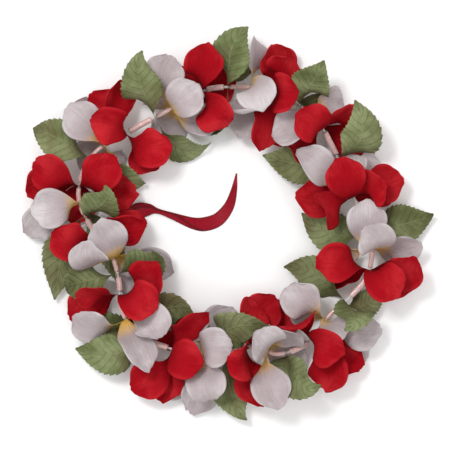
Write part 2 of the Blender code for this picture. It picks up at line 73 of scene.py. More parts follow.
def smooth_route(points, steps, closed):
    """Points on a smooth curve through the given ones, with the same number in each span."""
    count = len(points)
    spans = count if closed else count - 1
    route = []
    for i in range(spans):
        a, b, c, d = (points[(i + k) % count] if closed else points[min(max(i + k, 0), count - 1)]
                      for k in (-1, 0, 1, 2))
        for k in range(steps):
            t = k / steps
            route.append(0.5 * (2 * b + (c - a) * t + (2 * a - 5 * b + 4 * c - d) * t ** 2
                                + (3 * b - a - 3 * c + d) * t ** 3))
    if not closed:
        route.append(points[-1])
    return route


class Shade:
    """A socket of a material's nodes, which sums and products add Math nodes to."""

    def __init__(self, tree, socket):
        self.tree = tree
        self.socket = socket

    def node(self, kind, inputs, output=0, **settings):
        """Add any node: its settings first, then the values or links of its sockets."""
        node = self.tree.nodes.new(kind)
        for name, value in settings.items():
            setattr(node, name, value)
        for name, value in inputs.items():
            if isinstance(value, Shade):
                self.tree.links.new(value.socket, node.inputs[name])
            else:
                node.inputs[name].default_value = value
        return Shade(self.tree, node.outputs[output])

    def maths(self, operation, *values):
        """A Math node on this socket and the given values."""
        return self.node("ShaderNodeMath", dict(enumerate((self, *values))), operation=operation)

    def __add__(self, other):
        return self.maths("ADD", other)

    def __sub__(self, other):
        return self.maths("SUBTRACT", other)

    def __mul__(self, other):
        return self.maths("MULTIPLY", other)

    def __rsub__(self, other):
        return self.node("ShaderNodeMath", {0: other, 1: self}, operation="SUBTRACT")

    __radd__ = __add__
    __rmul__ = __mul__

    def sine(self):
        """The sine of this value."""
        return self.maths("SINE")

    def step(self, low, high):
        """A smooth step from 0 at low to 1 at high."""
        return self.node("ShaderNodeMapRange", {"Value": self, "From Min": low, "From Max": high},
                         interpolation_type="SMOOTHSTEP")

    def part(self, name):
        """One part of a vector: X, Y or Z."""
        return self.node("ShaderNodeSeparateXYZ", {"Vector": self}, output=name)

    def tint(self, first, second):
        """A colour between two, with this value as the share of the second."""
        return self.node("ShaderNodeMix", {"Factor": self, 6: first, 7: second}, output=2,
                         data_type="RGBA")

    def noise(self, scale, detail=3.0, roughness=0.55):
        """Noise read at this vector."""
        return self.node("ShaderNodeTexNoise", {"Vector": self, "Scale": scale, "Detail": detail,
                                                "Roughness": roughness})

    def stretched(self, x, y, z):
        """This vector with each part multiplied."""
        return self.node("ShaderNodeVectorMath", {0: self, 1: (x, y, z)}, operation="MULTIPLY")


def new_material(name, **constants):
    """A material with its constant values set, a start for its expressions, and its shader node."""
    material = bpy.data.materials.new(name)
    material.use_nodes = True
    tree = material.node_tree
    shader = tree.nodes["Principled BSDF"]
    for socket, value in constants.items():
        shader.inputs[socket.replace("_", " ")].default_value = value
    return material, Shade(tree, tree.nodes.new("ShaderNodeTexCoord").outputs["Object"]), shader


def connect(shader, bump_height=None, bump_distance=0.0001, **links):
    """Link expressions to a shader's sockets, with a height through a Bump node."""
    tree = shader.id_data
    for socket, value in links.items():
        tree.links.new(value.socket, shader.inputs[socket.replace("_", " ")])
    if bump_height is not None:
        bump = bump_height.node("ShaderNodeBump", {"Height": bump_height, "Distance": bump_distance,
                                                   "Strength": 1.0})
        tree.links.new(bump.socket, shader.inputs["Normal"])


def new_mesh_object(name, points, faces, material):
    """A smooth object whose place is in its mesh, with one material."""
    mesh = bpy.data.meshes.new(name)
    mesh.from_pydata(points, [], faces)
    mesh.materials.append(material)
    for face in mesh.polygons:
        face.use_smooth = True
    obj = bpy.data.objects.new(name, mesh)
    bpy.context.scene.collection.objects.link(obj)
    return obj


def tube_tree(name):
    """A tree that turns a line of points into a round tube, open or filled at its ends."""
    tree = bpy.data.node_groups.new(name, "GeometryNodeTree")
    sockets = tree.interface
    sockets.new_socket("Geometry", in_out="INPUT", socket_type="NodeSocketGeometry")
    identifiers = {}
    for label, kind in (("Radius", "NodeSocketFloat"), ("Spacing", "NodeSocketFloat"),
                        ("Sides", "NodeSocketInt"), ("Filled", "NodeSocketBool"),
                        ("Finish", "NodeSocketMaterial")):
        identifiers[label] = sockets.new_socket(label, in_out="INPUT", socket_type=kind).identifier
    sockets.new_socket("Geometry", in_out="OUTPUT", socket_type="NodeSocketGeometry")
    given = tree.nodes.new("NodeGroupInput").outputs
    line = tree.nodes.new("GeometryNodeMeshToCurve")
    tree.links.new(given["Geometry"], line.inputs["Mesh"])
    spaced = tree.nodes.new("GeometryNodeResampleCurve")
    spaced.mode = "LENGTH"
    tree.links.new(line.outputs["Curve"], spaced.inputs["Curve"])
    tree.links.new(given["Spacing"], spaced.inputs["Length"])
    circle = tree.nodes.new("GeometryNodeCurvePrimitiveCircle")
    tree.links.new(given["Sides"], circle.inputs["Resolution"])
    tree.links.new(given["Radius"], circle.inputs["Radius"])
    tube = tree.nodes.new("GeometryNodeCurveToMesh")
    tree.links.new(spaced.outputs["Curve"], tube.inputs["Curve"])
    tree.links.new(circle.outputs["Curve"], tube.inputs["Profile Curve"])
    tree.links.new(given["Filled"], tube.inputs["Fill Caps"])
    smooth = tree.nodes.new("GeometryNodeSetShadeSmooth")
    tree.links.new(tube.outputs["Mesh"], smooth.inputs["Geometry"])
    real = tree.nodes.new("GeometryNodeRealizeInstances")
    tree.links.new(smooth.outputs["Geometry"], real.inputs["Geometry"])
    finish = tree.nodes.new("GeometryNodeSetMaterial")
    tree.links.new(real.outputs["Geometry"], finish.inputs["Geometry"])
    tree.links.new(given["Finish"], finish.inputs["Material"])
    result = tree.nodes.new("NodeGroupOutput")
    tree.links.new(finish.outputs["Geometry"], result.inputs["Geometry"])
    return tree, identifiers


def tube_along(name, points, closed, material, **sizes):
    """A tube along a line of points, made by the tube tree and kept as a plain mesh."""
    edges = [(i, i + 1) for i in range(len(points) - 1)]
    if closed:
        edges.append((len(points) - 1, 0))
    mesh = bpy.data.meshes.new(name + "_line")
    mesh.from_pydata(points, edges, [])
    obj = bpy.data.objects.new(name, mesh)
    bpy.context.scene.collection.objects.link(obj)
    modifier = obj.modifiers.new("tube", "NODES")
    modifier.node_group = TUBE_TREE
    for label, value in (*sizes.items(), ("Finish", material)):
        modifier[TUBE_INPUTS[label]] = value
    bpy.context.view_layer.update()
    shown = obj.evaluated_get(bpy.context.evaluated_depsgraph_get())
    made = bpy.data.meshes.new_from_object(shown)
    obj.modifiers.remove(modifier)
    obj.data = made
    return obj


def thicken(piece, thickness, offset):
    """Give a surface a thickness: outward with an offset of one, to both sides with none."""
    wall = piece.modifiers.new("thickness", "SOLIDIFY")
    wall.thickness = thickness
    wall.offset = offset


def finish_piece(piece, node):
    """The piece stands for its CAD node, which is hidden, and is attached to the root body."""
    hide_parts(node)
    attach(piece, "root")


TUBE_TREE, TUBE_INPUTS = tube_tree("tube on a line")
CORD_FINE = smooth_route([plan(x, y, CORD_HEIGHT) for x, y in CORD_ROUTE], FINE_STEPS, closed=True)

elastic_finish, place, shader = new_material("covered elastic", Roughness=0.8)
ridges = (place.part("X") * COVER_RIDGES[0] + place.part("Y") * COVER_RIDGES[1]).sine() * 0.5 + 0.5
# The darker stripes that follow the cover's ridges are painted shade.
connect(shader, bump_height=ridges, Base_Color=(ridges * 0.6).tint(ELASTIC_COLOR, ELASTIC_RIDGE_SHADE))
elastic = tube_along("covered_elastic", CORD_FINE[::ELASTIC_STRIDE], True, elastic_finish,
                     Radius=ELASTIC_RADIUS, Spacing=ELASTIC_SPACING, Sides=ELASTIC_SIDES,
                     Filled=False)
finish_piece(elastic, "elastic")

# The straw spacers
# Lengths of thin pink drinking straw, cut with scissors and threaded between two groups of
# blooms. The wall is translucent, so the dark red of the petals below shows through it.
STRAW_RADIUS = 1.9 * MM
STRAW_WALL = 0.3 * MM
STRAW_LENGTH = 16.0 * MM
STRAW_END_GAP = 2.4 * MM
STRAW_STEPS = 12
STRAW_SIDES = 28
HUB_HOLE_RADIUS = 1.6 * MM
HUB_RADIUS = 4.0 * MM
TANGENT_REACH = 3
# For each group and layer: its hub's place in the picture, then each blade's tip there, with
# the tip's height in mm and the blade's roll in degrees.
GROUPS = (
    {"red": ((203, 91), ((207, 44, 20, 10), (228, 126, 18, 0), (236, 78, 8, 0), (186, 128, 4, 0),
                         (186, 62, 5, 0))),
     "white": ((172, 110), ((172, 55, 14, 0), (200, 86, 28, 0), (219, 138, 12, 25), (150, 140, 3, 0),
                            (145, 82, 4, 0))),
     "leaf": ((155, 118), ((143, 52, 28, 0), (211, 142, 6, 50)))},
    {"red": ((126, 133), ((90, 92, 18, 0), (123, 80, 24, 20), (172, 142, 24, 0), (162, 167, 14, 0),
                          (91, 122, 32, -20))),
     "white": ((104, 146), ((67, 106, 15, 0), (154, 171, 5, 0), (106, 98, 4, 0), (78, 167, 3, 0),
                            (120, 172, 3, 0))),
     "leaf": ((88, 157), ((33, 128, 10, 0), (57, 118, 4, 0), (145, 183, 4, 40)))},
    {"red": ((80, 186), ((35, 160, 20, 0), (113, 154, 24, 0), (27, 196, 16, 15), (139, 191, 12, 0),
                         (72, 225, 3, 0))),
     "white": ((79, 204), ((31, 211, 9, 0), (26, 236, 7, 0), (118, 218, 3, 0), (60, 170, 3, 0),
                           (98, 170, 3, 0))),
     "leaf": ((84, 217), ((110, 189, 30, 0), (54, 300, 6, 0), (162, 243, 2, 0)))},
    {"red": ((97, 235), ((56, 228, 24, 0), (142, 211, 24, 0), (56, 273, 6, 0), (140, 196, 6, 0),
                         (158, 252, 10, 0))),
     "white": ((113, 258), ((99, 219, 34, 0), (90, 240, 28, 0), (66, 296, 6, 0), (172, 275, 5, 0),
                            (146, 300, 3, 0))),
     "leaf": ((117, 274), ((67, 286, 22, 0), (153, 250, 30, 20)))},
    {"red": ((120, 295), ((75, 281, 28, 0), (160, 263, 26, 0), (158, 309, 28, 0), (73, 328, 4, 0),
                          (126, 345, 3, 0))),
     "white": ((126, 320), ((76, 319, 20, 0), (165, 320, 20, 0), (134, 375, 16, 0), (184, 308, 6, 0),
                            (108, 385, 3, 0))),
     "leaf": ((141, 337), ((75, 349, 6, 0), (78, 372, 3, 0), (195, 317, 14, 20)))},
    {"red": ((172, 349), ((131, 391, 14, 0), (162, 403, 10, 0), (208, 312, 26, 0), (190, 314, 18, 0),
                          (204, 360, 30, 0), (150, 318, 3, 0))),
     "white": ((202, 354), ((216, 318, 22, 65), (233, 345, 28, 0), (213, 399, 22, 0), (189, 415, 6, 0),
                            (153, 397, 4, 0), (236, 310, 5, 0))),
     "leaf": ((223, 350), ((269, 326, 26, 25), (247, 420, 12, 0)))},
    {"red": ((246, 346), ((255, 300, 22, 40), (277, 297, 18, 0), (301, 304, 12, 0), (262, 406, 20, 0),
                          (229, 352, 26, 0))),
     "white": ((267, 351), ((301, 334, 32, 0), (252, 332, 26, 50), (289, 405, 18, 0), (268, 405, 6, 0),
                            (310, 362, 4, 0))),
     "leaf": ((286, 352), ((320, 383, 24, 20), (276, 417, 3, 0)))},
    {"red": ((311, 340), ((305, 326, 36, 0), (343, 354, 28, 20), (323, 391, 18, 0), (364, 368, 12, 0),
                          (312, 393, 3, 0))),
     "white": ((326, 320), ((292, 283, 20, 0), (345, 336, 28, 0), (382, 328, 18, 0), (367, 363, 8, 0),
                            (289, 301, 5, 0))),
     "leaf": ((345, 302), ((284, 267, 10, 0), (343, 329, 34, 0), (397, 302, 15, 0)))},
    {"red": ((368, 270), ((314, 264, 24, 0), (413, 256, 26, 20), (399, 296, 28, 0), (419, 284, 9, 0),
                          (322, 291, 5, 0))),
     "white": ((372, 249), ((367, 199, 20, 0), (362, 227, 34, 0), (310, 231, 12, 0), (421, 243, 14, 0),
                            (420, 270, 4, 0), (303, 261, 4, 0))),
     "leaf": ((370, 232), ((434, 214, 8, 0), (302, 213, 8, 0)))},
    {"red": ((353, 197), ((339, 157, 28, 0), (297, 179, 20, 0), (404, 178, 18, 0), (406, 197, 8, 0),
                          (384, 181, 30, 0), (325, 209, 26, 0))),
     "white": ((346, 180), ((326, 147, 12, 0), (353, 149, 12, 0), (287, 180, 10, 0), (381, 163, 10, 0),
                            (305, 207, 4, 0), (390, 200, 3, 0))),
     "leaf": ((337, 158), ((354, 101, 26, 0), (263, 155, 6, 0)))},
    {"red": ((322, 130), ((297, 112, 30, 0), (348, 104, 22, 30), (291, 150, 24, 0), (369, 164, 6, 0),
                          (330, 172, 5, 0))),
     "white": ((311, 115), ((343, 94, 10, 0), (276, 143, 16, 50), (288, 142, 10, 40), (330, 150, 3, 0),
                            (296, 84, 4, 0))),
     "leaf": ((298, 105), ((323, 62, 22, 0), (346, 88, 10, 0)))},
    {"red": ((275, 94), ((273, 44, 16, 20), (293, 60, 22, 0), (298, 94, 30, 0), (262, 151, 14, 0),
                         (284, 147, 8, 0))),
     "white": ((251, 87), ((262, 39, 14, 60), (227, 108, 26, 45), (264, 112, 34, 0), (243, 141, 18, 0),
                           (232, 60, 4, 0))),
     "leaf": ((227, 88), ((248, 28, 24, 0), (260, 46, 8, 60), (237, 146, 4, 30)))},
)


def cord_place(x, y):
    """The nearest index on the fine cord route to a pixel."""
    wanted = plan(x, y, CORD_HEIGHT)
    return min(range(len(CORD_FINE)), key=lambda i: (CORD_FINE[i] - wanted).length)


def hub_frame(x, y):
    """A hub on the cord: its centre, the way it faces, and its outward and upward directions."""
    index = cord_place(x, y)
    ahead = CORD_FINE[(index + TANGENT_REACH) % len(CORD_FINE)]
    tangent = (ahead - CORD_FINE[index - TANGENT_REACH]).normalized()
    side = tangent.cross(Vector((0, 0, 1))).normalized()
    return CORD_FINE[index], tangent, side, side.cross(tangent)


def along(points, share):
    """The point and direction at a share of a line's length, past its end for shares over one."""
    steps = [(b - a).length for a, b in zip(points, points[1:])]
    wanted = share * sum(steps)
    for a, b, step in zip(points, points[1:], steps):
        if wanted <= step or b is points[-1]:
            return a.lerp(b, wanted / step), (b - a).normalized()
        wanted -= step


STRAW_PINK = (0.70, 0.42, 0.39, 1.0)
STRAW_PALE = (0.86, 0.68, 0.65, 1.0)
straw_finish, place, shader = new_material("pink straw plastic", Roughness=0.22, Coat_Weight=0.4)
streaks = place.noise(900.0, detail=2.0)
connect(shader, Base_Color=(streaks.step(0.35, 0.75) * 0.6).tint(STRAW_PINK, STRAW_PALE),
        Alpha=0.82 + streaks * 0.1)

for number in range(1, len(GROUPS) + 1):
    start = cord_place(*GROUPS[number - 1]["leaf"][0])
    end = cord_place(*GROUPS[number % len(GROUPS)]["red"][0])
    if end < start:
        end += len(CORD_FINE)
    room = [CORD_FINE[i % len(CORD_FINE)] for i in range(start, end + 1)]
    total = sum((b - a).length for a, b in zip(room, room[1:]))
    length = min(STRAW_LENGTH, total - 2 * STRAW_END_GAP)
    points = [along(room, 0.5 + (k / STRAW_STEPS - 0.5) * length / total)[0]
              for k in range(STRAW_STEPS + 1)]
    straw = tube_along(f"straw_spacer_{number:02d}", points, False, straw_finish,
                       Radius=STRAW_RADIUS - STRAW_WALL, Spacing=TUBE_SPACING, Sides=STRAW_SIDES,
                       Filled=False)
    thicken(straw, STRAW_WALL, 1.0)
    finish_piece(straw, f"straw_{number:02d}")

# The short sleeves
# Offcuts of the same straw between the layers of a group, which keep the petals of one
# from closing up on the next. Each is as long as the blades round it leave room for.
SLEEVE_RADIUS = 1.5 * MM
SLEEVE_WALL = 0.25 * MM
SLEEVE_LEAST = 2.5 * MM
SLEEVE_SIDES = 24
SLEEVE_ROOM = 0.1 * MM


def surface_tree(obj):
    """A tree of an object's faces, for finding what is near or in the way."""
    mesh = obj.data
    return BVHTree.FromPolygons([v.co for v in mesh.vertices], [p.vertices for p in mesh.polygons])


walls = [surface_tree(obj) for name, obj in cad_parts.items() if name != "elastic"]


def free_stretch(line):
    """The longest stretch of a line of points that has room round it for a sleeve."""
    runs = [[]]
    reach = SLEEVE_RADIUS + SLEEVE_ROOM
    for point in line:
        if any(tree.find_nearest(point, reach)[0] is not None for tree in walls):
            runs.append([])
        else:
            runs[-1].append(point)
    return max(runs, key=len)


for number, group in enumerate(GROUPS, start=1):
    places = [cord_place(*group[color][0]) for color in ("red", "white", "leaf")]
    for gap, (start, end) in enumerate(zip(places, places[1:]), start=1):
        if end < start:
            end += len(CORD_FINE)
        stretch = free_stretch([CORD_FINE[i % len(CORD_FINE)] for i in range(start, end + 1)])
        if len(stretch) < 2 or (stretch[-1] - stretch[0]).length < SLEEVE_LEAST:
            continue
        sleeve = tube_along(f"straw_sleeve_{number:02d}_{gap}", stretch, False, straw_finish,
                            Radius=SLEEVE_RADIUS - SLEEVE_WALL, Spacing=TUBE_SPACING,
                            Sides=SLEEVE_SIDES, Filled=False)
        thicken(sleeve, SLEEVE_WALL, 1.0)
        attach(sleeve, "root")

# The red blooms
# One die-cut layer of stiffened satin weave each: five or six rounded petals round a hub
# with a hole, every petal bent by hand, threaded on the elastic below a white layer.
FABRIC = 0.62 * MM
CLOTH = 0.26 * MM
PETAL_LENGTH = 33.0 * MM
PETAL_WIDTH = 26.0 * MM
PETAL_WAIST = 1.35
PETAL_WIDEST_AT = 0.62
PETAL_ROUND = 0.44
ROOT_HALF_WIDTH = HUB_RADIUS * math.sin(math.radians(36))
CUPS = {"petal": 0.30, "leaf": 0.16}
CUP_ROUNDING = 0.1
ROUNDED_TIP = 0.13
ROOT_SHARE = 0.2
TWIST_SHARE = 0.5
LOWEST_AIM = 2.0 * MM
HIGHEST_TIP = 37.0 * MM
REACH_SHARE = 0.86
RAISED_SHARE = 0.9
SPINE_STEPS = 40
SPINE_TRIES = 9
LEAST_REACH, MOST_REACH, GENTLE_REACH = 0.12, 1.1, 0.88
LEAST_SPARE, GENTLE_SPARE, MOST_SPARE = 1.02, 1.03, 1.2
SHARPEST = math.cos(math.radians(14))
SHORTENING = 0.98
LEAST_CLEAR, LEAST_STEADY, TURN_SHARE = 0.45, 0.85, 0.3
# The bends that a blade may have in the solids: its scale, turn, lift in mm and extra roll.
SCALES = (1.0, 0.92, 0.84, 0.75, 0.65)
TURNS = (0, -8, 8, -16, 16, -28, 28, -45, 45)
LIFTS = (0, 2.5, -2.5, 5, -5, 9, -9, 13, -13)
ROLLS = (0, -20, 20, -40, 40)
EDGE_ROWS = {"petal": (0.52, 0.78), "leaf": (0.4, 0.7)}
SAME_TIP = 0.05 * MM
ACROSS = 14
PETAL_STEPS = 22
FEWEST_SLOTS = 5
# How far the cloth of a petal strays, in mm off its surface and in shares of its length.
DENT, CROSS_DENT, FRILL, CURL = 0.24, 0.16, 0.42, 0.35
LOBE, RIPPLE, NOTCH_DEPTH, NOTCH_WIDTH = 0.016, 0.008, 0.05, 0.22
RELIEF = 0.0009
WEAVE_SCALE = 2400.0
SEEDS = {"red": 100, "white": 300, "leaf": 500}
# The red in plain, lit and shaded copies for painted highlight and painted shade, and a painted shade
# for the throat round the hub.
RED = (0.36, 0.0018, 0.008, 1.0)
RED_LIT = (0.53, 0.019, 0.027, 1.0)
RED_SHADED = (0.17, 0.0005, 0.003, 1.0)
RED_THROAT_SHADE = (0.12, 0.0005, 0.003, 1.0)


def petal_half_width(u):
    """Half the width of a petal at a share of its length: narrow at the hub, round at its tip."""
    widest = PETAL_WIDTH / 2
    if u < PETAL_WIDEST_AT:
        opening = math.sin(math.pi / 2 * u / PETAL_WIDEST_AT) ** PETAL_WAIST
        return ROOT_HALF_WIDTH + (widest - ROOT_HALF_WIDTH) * opening
    return widest * math.sqrt(1 - ((u - PETAL_WIDEST_AT) / PETAL_ROUND) ** 2)


def spine(start, heading, tip, length, gentle=False):
    """Points along a blade: it leaves the hub along heading and bends over to its tip.

    A gentle one never runs past its tip and back."""
    chord = tip - start
    length = max(length, chord.length * LEAST_SPARE)
    low, high = LEAST_REACH * length, MOST_REACH * length
    forward = heading.dot(chord.normalized())
    if gentle and forward > 0:
        high = min(high, GENTLE_REACH * chord.length / forward)
    for _ in range(SPINE_TRIES):
        reach = (low + high) / 2
        bend = start + heading * reach
        points = [start * (1 - t) ** 2 + bend * 2 * t * (1 - t) + tip * t ** 2
                  for t in (k / SPINE_STEPS for k in range(SPINE_STEPS + 1))]
        if sum((b - a).length for a, b in zip(points, points[1:])) < length:
            low = reach
        else:
            high = reach
    return points


def slot_angles(hub, blades, slots):
    """Where each blade leaves the hub: evenly spaced round it, in the blades' own order."""
    centre, _, side, up = hub
    natural = []
    for number, (x, y, height, _) in enumerate(blades):
        to_tip = plan(x, y, max(height * MM, LOWEST_AIM)) - centre
        natural.append((math.atan2(to_tip.dot(up), to_tip.dot(side)) % math.tau, number))
    natural.sort()
    best = None
    step = math.tau / slots
    for used in combinations(range(slots), len(blades)):
        for shift in range(len(blades)):
            order = natural[shift:] + natural[:shift]
            gaps = [(angle - place * step + math.pi) % math.tau - math.pi
                    for (angle, _), place in zip(order, used)]
            turn = math.atan2(sum(math.sin(g) for g in gaps), sum(math.cos(g) for g in gaps))
            cost = sum(((g - turn + math.pi) % math.tau - math.pi) ** 2 for g in gaps)
            if best is None or cost < best[0] - 1e-9:
                best = (cost, turn, {number: place for (_, number), place in zip(order, used)})
    _, turn, places = best
    return turn, [(turn + places[number] * step, step / 2) for number in range(len(blades))]


def blade_tip(kind, hub, entry, bend):
    """Where a blade's tip lies when it is bent in one way, with its reach in plan."""
    lift, turn, scale = bend
    centre = hub[0]
    tip_x, tip_y, tip_height, _ = entry
    length = (PETAL_LENGTH if kind == "petal" else LEAF_LENGTH) * scale
    reach = plan(tip_x, tip_y) - Vector((centre.x, centre.y, 0))
    reach = Matrix.Rotation(math.radians(turn), 3, "Z") @ (reach * (0.5 + 0.5 * scale))
    height = tip_height * MM + lift
    shortfall = (REACH_SHARE * length) ** 2 - reach.length_squared
    if tip_height * MM > CORD_HEIGHT and shortfall > 0:
        height = max(height, CORD_HEIGHT + math.sqrt(shortfall) * RAISED_SHARE + lift)
    height = min(max(height, FABRIC / 2), HIGHEST_TIP)
    return Vector((centre.x, centre.y, 0)) + reach + Vector((0, 0, height)), reach, length


def eased(share):
    """A share from 0 to 1 with a soft start and a soft end."""
    return share * share * (3 - 2 * share)


def sharpest_turn(points):
    """The cosine of the sharpest turn between two steps of a line."""
    steps = [(b - a).normalized() for a, b in zip(points, points[1:])]
    return min(a.dot(b) for a, b in zip(steps, steps[1:]))


def blade_surface(kind, hub, slot, entry, bend, roll_more, gentle=False):
    """A function that gives the point of a blade at a share of its length and of its half width.

    A gentle blade is shortened until its middle line turns nowhere sharply, with its tip kept."""
    centre, facing, side, up = hub
    angle, half_arc = slot
    scale = bend[2]
    tip, reach, length = blade_tip(kind, hub, entry, bend)
    heading = side * math.cos(angle) + up * math.sin(angle)
    start = centre + heading * HUB_RADIUS
    chord = (tip - start).length
    length = min(length, chord * MOST_SPARE)
    points = spine(start, heading, tip, length, gentle)
    while gentle and sharpest_turn(points) < SHARPEST and length > GENTLE_SPARE * chord:
        length *= SHORTENING
        points = spine(start, heading, tip, length, gentle)
    width_start = heading.cross(facing)
    width_end = Vector((0, 0, 1)).cross(reach).normalized()
    if width_start.dot(width_end) < 0:
        width_end = -width_end
    widths = []
    carried = width_start
    for k in range(SPINE_STEPS + 1):
        direction = along(points, k / SPINE_STEPS)[1]
        wanted = width_start.lerp(width_end, eased(min(1.0, k / SPINE_STEPS / TWIST_SHARE)))
        wanted -= direction * wanted.dot(direction)
        carried -= direction * carried.dot(direction)
        clear = wanted.length
        if wanted.dot(carried) < 0:
            wanted = -wanted
        alike = wanted.normalized().dot(carried.normalized())
        if clear > LEAST_CLEAR and alike > LEAST_STEADY:
            carried = wanted.normalized()
        else:
            carried = carried.normalized().lerp(wanted, TURN_SHARE)
        widths.append(carried.normalized())
        carried = widths[-1].copy()
    upward = 1 if along(points, 1.0)[1].cross(widths[-1]).z > 0 else -1

    def place(u, v, rise=0.0, widen=0.0):
        """The point at u from hub to tip and v from side to side, lifted by rise."""
        forward = -ROUNDED_TIP * u ** 4 * v * v if kind == "petal" else 0.0
        half = petal_half_width(min(u, 1.0)) if kind == "petal" else leaf_half_width(u)
        middle, direction = along(points, u + forward)
        ease = eased(min(1.0, u / TWIST_SHARE))
        at = min(max(u, 0.0), 0.999) * SPINE_STEPS
        width = widths[int(at)].lerp(widths[int(at) + 1], at - int(at))
        width = (width - direction * width.dot(direction)).normalized()
        width = Matrix.Rotation(math.radians((entry[3] + roll_more) * ease), 3, direction) @ width
        normal = direction.cross(width) * upward
        lowest = math.sqrt(CUP_ROUNDING)
        hollow = (math.sqrt(v * v + CUP_ROUNDING) - lowest) / (math.sqrt(1 + CUP_ROUNDING) - lowest)
        point = middle + width * (half * scale + widen) * v
        point += normal * (half * CUPS[kind] * hollow * min(1.0, 2 * u) + rise)
        rim = angle + v * half_arc
        root = centre + (side * math.cos(rim) + up * math.sin(rim)) * HUB_RADIUS
        return root.lerp(point, eased(min(1.0, u / ROOT_SHARE)))

    return place


def chosen_surface(kind, hub, slot, entry, cloud):
    """The surface of a blade as it is bent in the solid: its tip and its edges are found there."""
    def missed(point):
        """How far the point is from the middle of the two nearest corners of the solid."""
        near = cloud.find_n(point, 2)
        return ((near[0][0] + near[1][0]) / 2 - point).length

    best = None
    for scale, turn, lift in product(SCALES, TURNS, LIFTS):
        bend = (lift * MM, turn, scale)
        if missed(blade_tip(kind, hub, entry, bend)[0]) > SAME_TIP:
            continue
        for roll in ROLLS:
            surface = blade_surface(kind, hub, slot, entry, bend, roll)
            error = sum(missed(surface(u, v)) for u in EDGE_ROWS[kind] for v in (-1, 1))
            if best is None or error < best[0] - 1e-6:
                best = (error, bend, roll)
    return blade_surface(kind, hub, slot, entry, *best[1:], gentle=True) if best else None


def corner_cloud(node):
    """The distinct corners of a CAD node, for finding which are near a point."""
    corners = {tuple(round(x, 6) for x in v.co): v.co.copy()
               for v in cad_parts[node].data.vertices}
    cloud = KDTree(len(corners))
    for i, corner in enumerate(corners.values()):
        cloud.insert(corner, i)
    cloud.balance()
    return cloud


def petal_rows(draw):
    """Rows of a petal by their shares of its length, its soft dents and waves, and its cut edge."""
    turns = [draw.uniform(0, math.tau) for _ in range(4)]
    deep = draw.uniform(0.6, 1.1)

    def rise(u, v):
        """How far the cloth stands off the petal's plain form."""
        free = min(1.0, max(0.0, (u - 0.15) / 0.4))
        dents = (DENT * math.sin(5.1 * u + turns[0] + 1.7 * v)
                 + CROSS_DENT * math.sin(4.4 * v + turns[1] + 3.0 * u))
        frill = FRILL * abs(v) ** 2.4 * math.sin(9.5 * u + turns[2] + (0 if v > 0 else turns[3]))
        curl = CURL * u ** 6 * math.sin(3.2 * v + turns[3])
        return (dents + frill + curl) * free * deep * MM

    notch = draw.uniform(-0.5, 0.5)
    cut = draw.uniform(0.0, NOTCH_DEPTH)

    def wander(u, v):
        """How far the cut edge strays at the tip: soft lobes, and a shallow notch in some."""
        lobes = LOBE * math.sin(4.2 * v + turns[1]) + RIPPLE * math.sin(12.0 * v + turns[2])
        return (lobes - cut * math.exp(-((v - notch) / NOTCH_WIDTH) ** 2)) * u ** 9

    return [(k / PETAL_STEPS, k / PETAL_STEPS, 0.0) for k in range(PETAL_STEPS + 1)], rise, wander


def new_corner(sheet, place, across, lengthways, tone):
    """A corner of a layer, tagged with its place on the blade and with the blade's tone."""
    corner = sheet.verts.new(place)
    corner[sheet.verts.layers.float_vector["share"]] = (across, lengthways, 0.0)
    corner[sheet.verts.layers.float["tone"]] = tone
    return corner


def add_hub(sheet, hub, turn, slots):
    """Add the flat ring of a hub from its hole outwards, and return the corners of its rim."""
    centre, _, side, up = hub
    around = slots * ACROSS
    angles = [turn + math.tau / slots * (j / ACROSS - 0.5) for j in range(around)]
    inner = None
    for radius in (HUB_HOLE_RADIUS, (HUB_HOLE_RADIUS + HUB_RADIUS) / 2, HUB_RADIUS):
        ring = [new_corner(sheet, centre + (side * math.cos(a) + up * math.sin(a)) * radius,
                           0.5, 0.0, 0.5) for a in angles]
        if inner:
            for j in range(around):
                k = (j + 1) % around
                sheet.faces.new((inner[j], ring[j], ring[k], inner[k]))
        inner = ring
    return inner


def add_blade(sheet, surface, rim, rows, rise, wander, tone):
    """Add one blade row by row, from its stretch of the hub's rim to its tip."""
    before = rim
    for u, u_edge, widen in rows[1:]:
        row = []
        for c in range(ACROSS + 1):
            v = 2 * c / ACROSS - 1
            at_edge = c in (0, ACROSS)
            reached = (u_edge if at_edge else u) + wander(u, v)
            point = surface(reached, v, rise(u, v), widen if at_edge else 0.0)
            point.z = max(point.z, CLOTH)
            row.append(new_corner(sheet, point, 0.5 + v / 2, u, tone))
        for c in range(ACROSS):
            sheet.faces.new((before[c], row[c], row[c + 1], before[c + 1]))
        before = row


